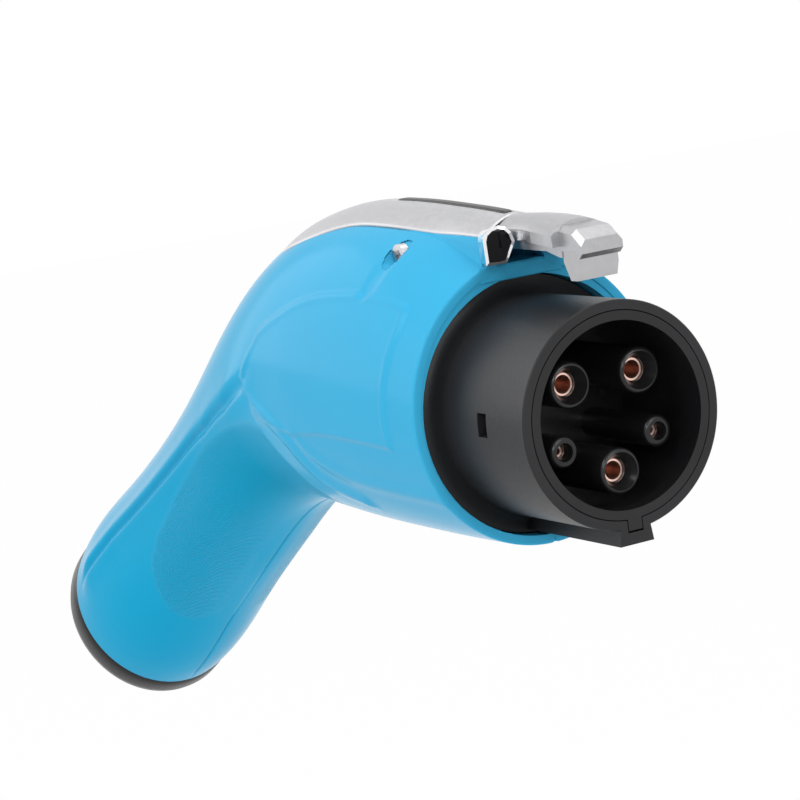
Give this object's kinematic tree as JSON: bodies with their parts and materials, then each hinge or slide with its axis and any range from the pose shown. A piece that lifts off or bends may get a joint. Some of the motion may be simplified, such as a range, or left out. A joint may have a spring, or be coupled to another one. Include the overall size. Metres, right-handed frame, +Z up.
{
  "type": "ev charging plug",
  "caption": "Handheld charging plug with a round keyed nose, sprung top latch, release pad, moulded pistol handle and cable gland.",
  "frame": {"origin": "centre of the nose's front face, on the nose's axis", "axes": "+X along the nose's axis out of the plug, +Z up on the latch side, the shells part on the XZ plane"},
  "size_m": [0.2528, 0.057, 0.129],
  "materials": {
    "blue_shell": "gloss",
    "nose_black": "satin",
    "satin_silver": "satin",
    "chrome": "polished",
    "copper": "polished",
    "steel": "satin",
    "rubber": "matt",
    "inner_plastic": "matt",
    "board": "satin",
    "brass": "satin"
  },
  "bodies": {
    "body": {"left_shell": "blue_shell", "right_shell": "blue_shell", "nose_housing": "nose_black", "nose_screws": "steel", "contact_insert": "nose_black", "contact_line": "copper", "contact_neutral": "copper", "contact_earth": "copper", "contact_proximity": "copper", "contact_pilot": "copper", "retainer_plate": "inner_plastic", "retainer_screws": "steel", "top_cover": "satin_silver", "left_cheek": "chrome", "right_cheek": "chrome", "cover_screws": "steel", "pivot_pin": "steel", "latch_tray": "inner_plastic", "tray_screws": "steel", "latch_spring": "steel", "latch_switch": "inner_plastic", "sense_board": "board", "shell_screws": "steel", "threaded_inserts": "brass", "end_collar": "nose_black", "gland_seal": "rubber", "clamp_upper": "inner_plastic", "clamp_lower": "inner_plastic", "clamp_screws": "steel"},
    "lever": {"latch_lever": "satin_silver", "latch_hook": "chrome", "thumb_pad": "nose_black"},
    "plunger": {"switch_plunger": "inner_plastic"}
  },
  "joints": [
    {"name": "latch_pivot", "type": "hinge", "parent": "body", "child": "lever", "pos_m": [-0.044, 0, 0.0314], "axis": [0, -1, 0], "range_deg": [0, 4], "stiffness_Nm_per_rad": 0.8, "springref_deg": -5.73, "deforming": ["latch_spring"]},
    {"name": "switch_press", "type": "slide", "parent": "body", "child": "plunger", "axis": [0, 0, -1], "range_m": [0, 0.0011]}
  ],
  "couplings": [
    {"joint": "switch_press", "follows": "latch_pivot", "m_per_rad": 0.01476}
  ]
}
